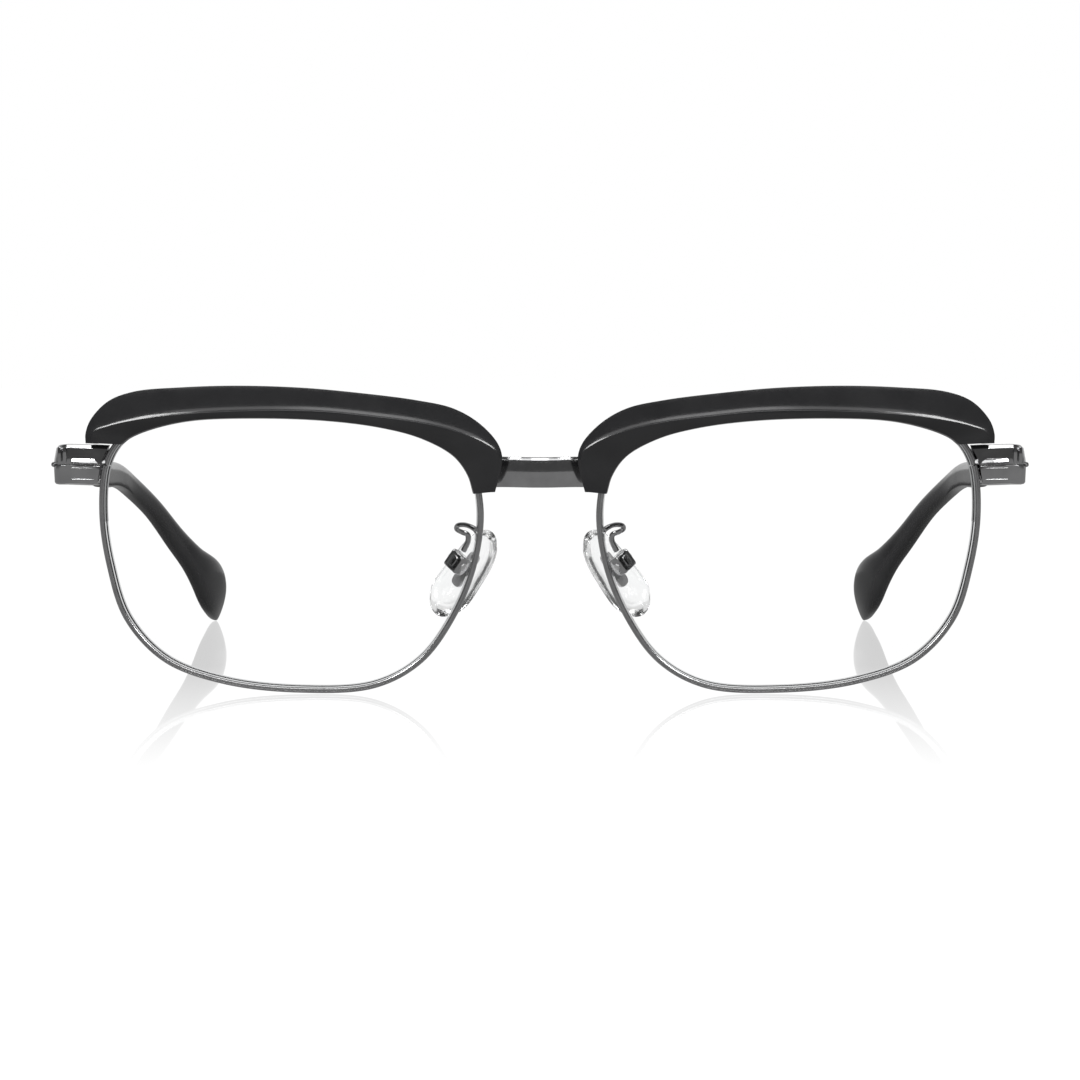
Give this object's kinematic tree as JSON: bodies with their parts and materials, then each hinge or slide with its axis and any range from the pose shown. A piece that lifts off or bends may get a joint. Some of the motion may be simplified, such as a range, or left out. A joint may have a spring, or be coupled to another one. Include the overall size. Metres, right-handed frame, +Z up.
{
  "type": "half rim eyeglasses",
  "caption": "Browline eyeglasses with thin metal rims under black brow bars, clear lenses, rocking silicone nose pads and folding temples.",
  "frame": {"origin": "middle of the footprint of the open glasses, on the surface they stand on", "axes": "+X to the wearer's left, +Y back along the open temples, +Z up; the lenses face -Y"},
  "size_m": [0.143, 0.14, 0.0444],
  "materials": {
    "gunmetal": "smooth gunmetal plating",
    "acetate": "polished black",
    "lens": "clear, polished",
    "silicone": "clear, smooth",
    "steel": "plain"
  },
  "bodies": {
    "front": {"bridge": "gunmetal", "rim_left": "gunmetal", "lens_left": "lens", "brow_left": "acetate", "brow_tab_left": "gunmetal", "brow_screw_outer_left": "steel", "brow_screw_inner_left": "steel", "endpiece_left": "gunmetal", "rim_lock_upper_left": "gunmetal", "rim_lock_lower_left": "gunmetal", "rim_lock_screw_left": "steel", "pad_arm_left": "gunmetal", "pad_box_left": "gunmetal", "pad_screw_left": "steel", "hinge_front_left": "gunmetal", "hinge_screw_left": "steel", "rim_right": "gunmetal", "lens_right": "lens", "brow_right": "acetate", "brow_tab_right": "gunmetal", "brow_screw_outer_right": "steel", "brow_screw_inner_right": "steel", "endpiece_right": "gunmetal", "rim_lock_upper_right": "gunmetal", "rim_lock_lower_right": "gunmetal", "rim_lock_screw_right": "steel", "pad_arm_right": "gunmetal", "pad_box_right": "gunmetal", "pad_screw_right": "steel", "hinge_front_right": "gunmetal", "hinge_screw_right": "steel"},
    "temple_left": {"hinge_temple_left": "gunmetal", "temple_arm_left": "gunmetal", "temple_tip_left": "acetate"},
    "pad_left": {"nose_pad_left": "silicone", "pad_insert_left": "steel"},
    "temple_right": {"hinge_temple_right": "gunmetal", "temple_arm_right": "gunmetal", "temple_tip_right": "acetate"},
    "pad_right": {"nose_pad_right": "silicone", "pad_insert_right": "steel"}
  },
  "joints": [
    {"name": "temple_left_fold", "type": "hinge", "parent": "front", "child": "temple_left", "pos_m": [0.0673, -0.05593, 0.03248], "axis": [0, 0.0645, 0.9979], "range_deg": [0, 84]},
    {"name": "pad_left_rock", "type": "hinge", "parent": "front", "child": "pad_left", "pos_m": [0.0119, -0.05909, 0.01856], "axis": [0.5531, 0.675, 0.4884], "range_deg": [-8, 8]},
    {"name": "temple_right_fold", "type": "hinge", "parent": "front", "child": "temple_right", "pos_m": [-0.0673, -0.05593, 0.03248], "axis": [0, -0.0645, -0.9979], "range_deg": [0, 72]},
    {"name": "pad_right_rock", "type": "hinge", "parent": "front", "child": "pad_right", "pos_m": [-0.0119, -0.05909, 0.01856], "axis": [0.5531, -0.675, -0.4884], "range_deg": [-8, 8]}
  ]
}
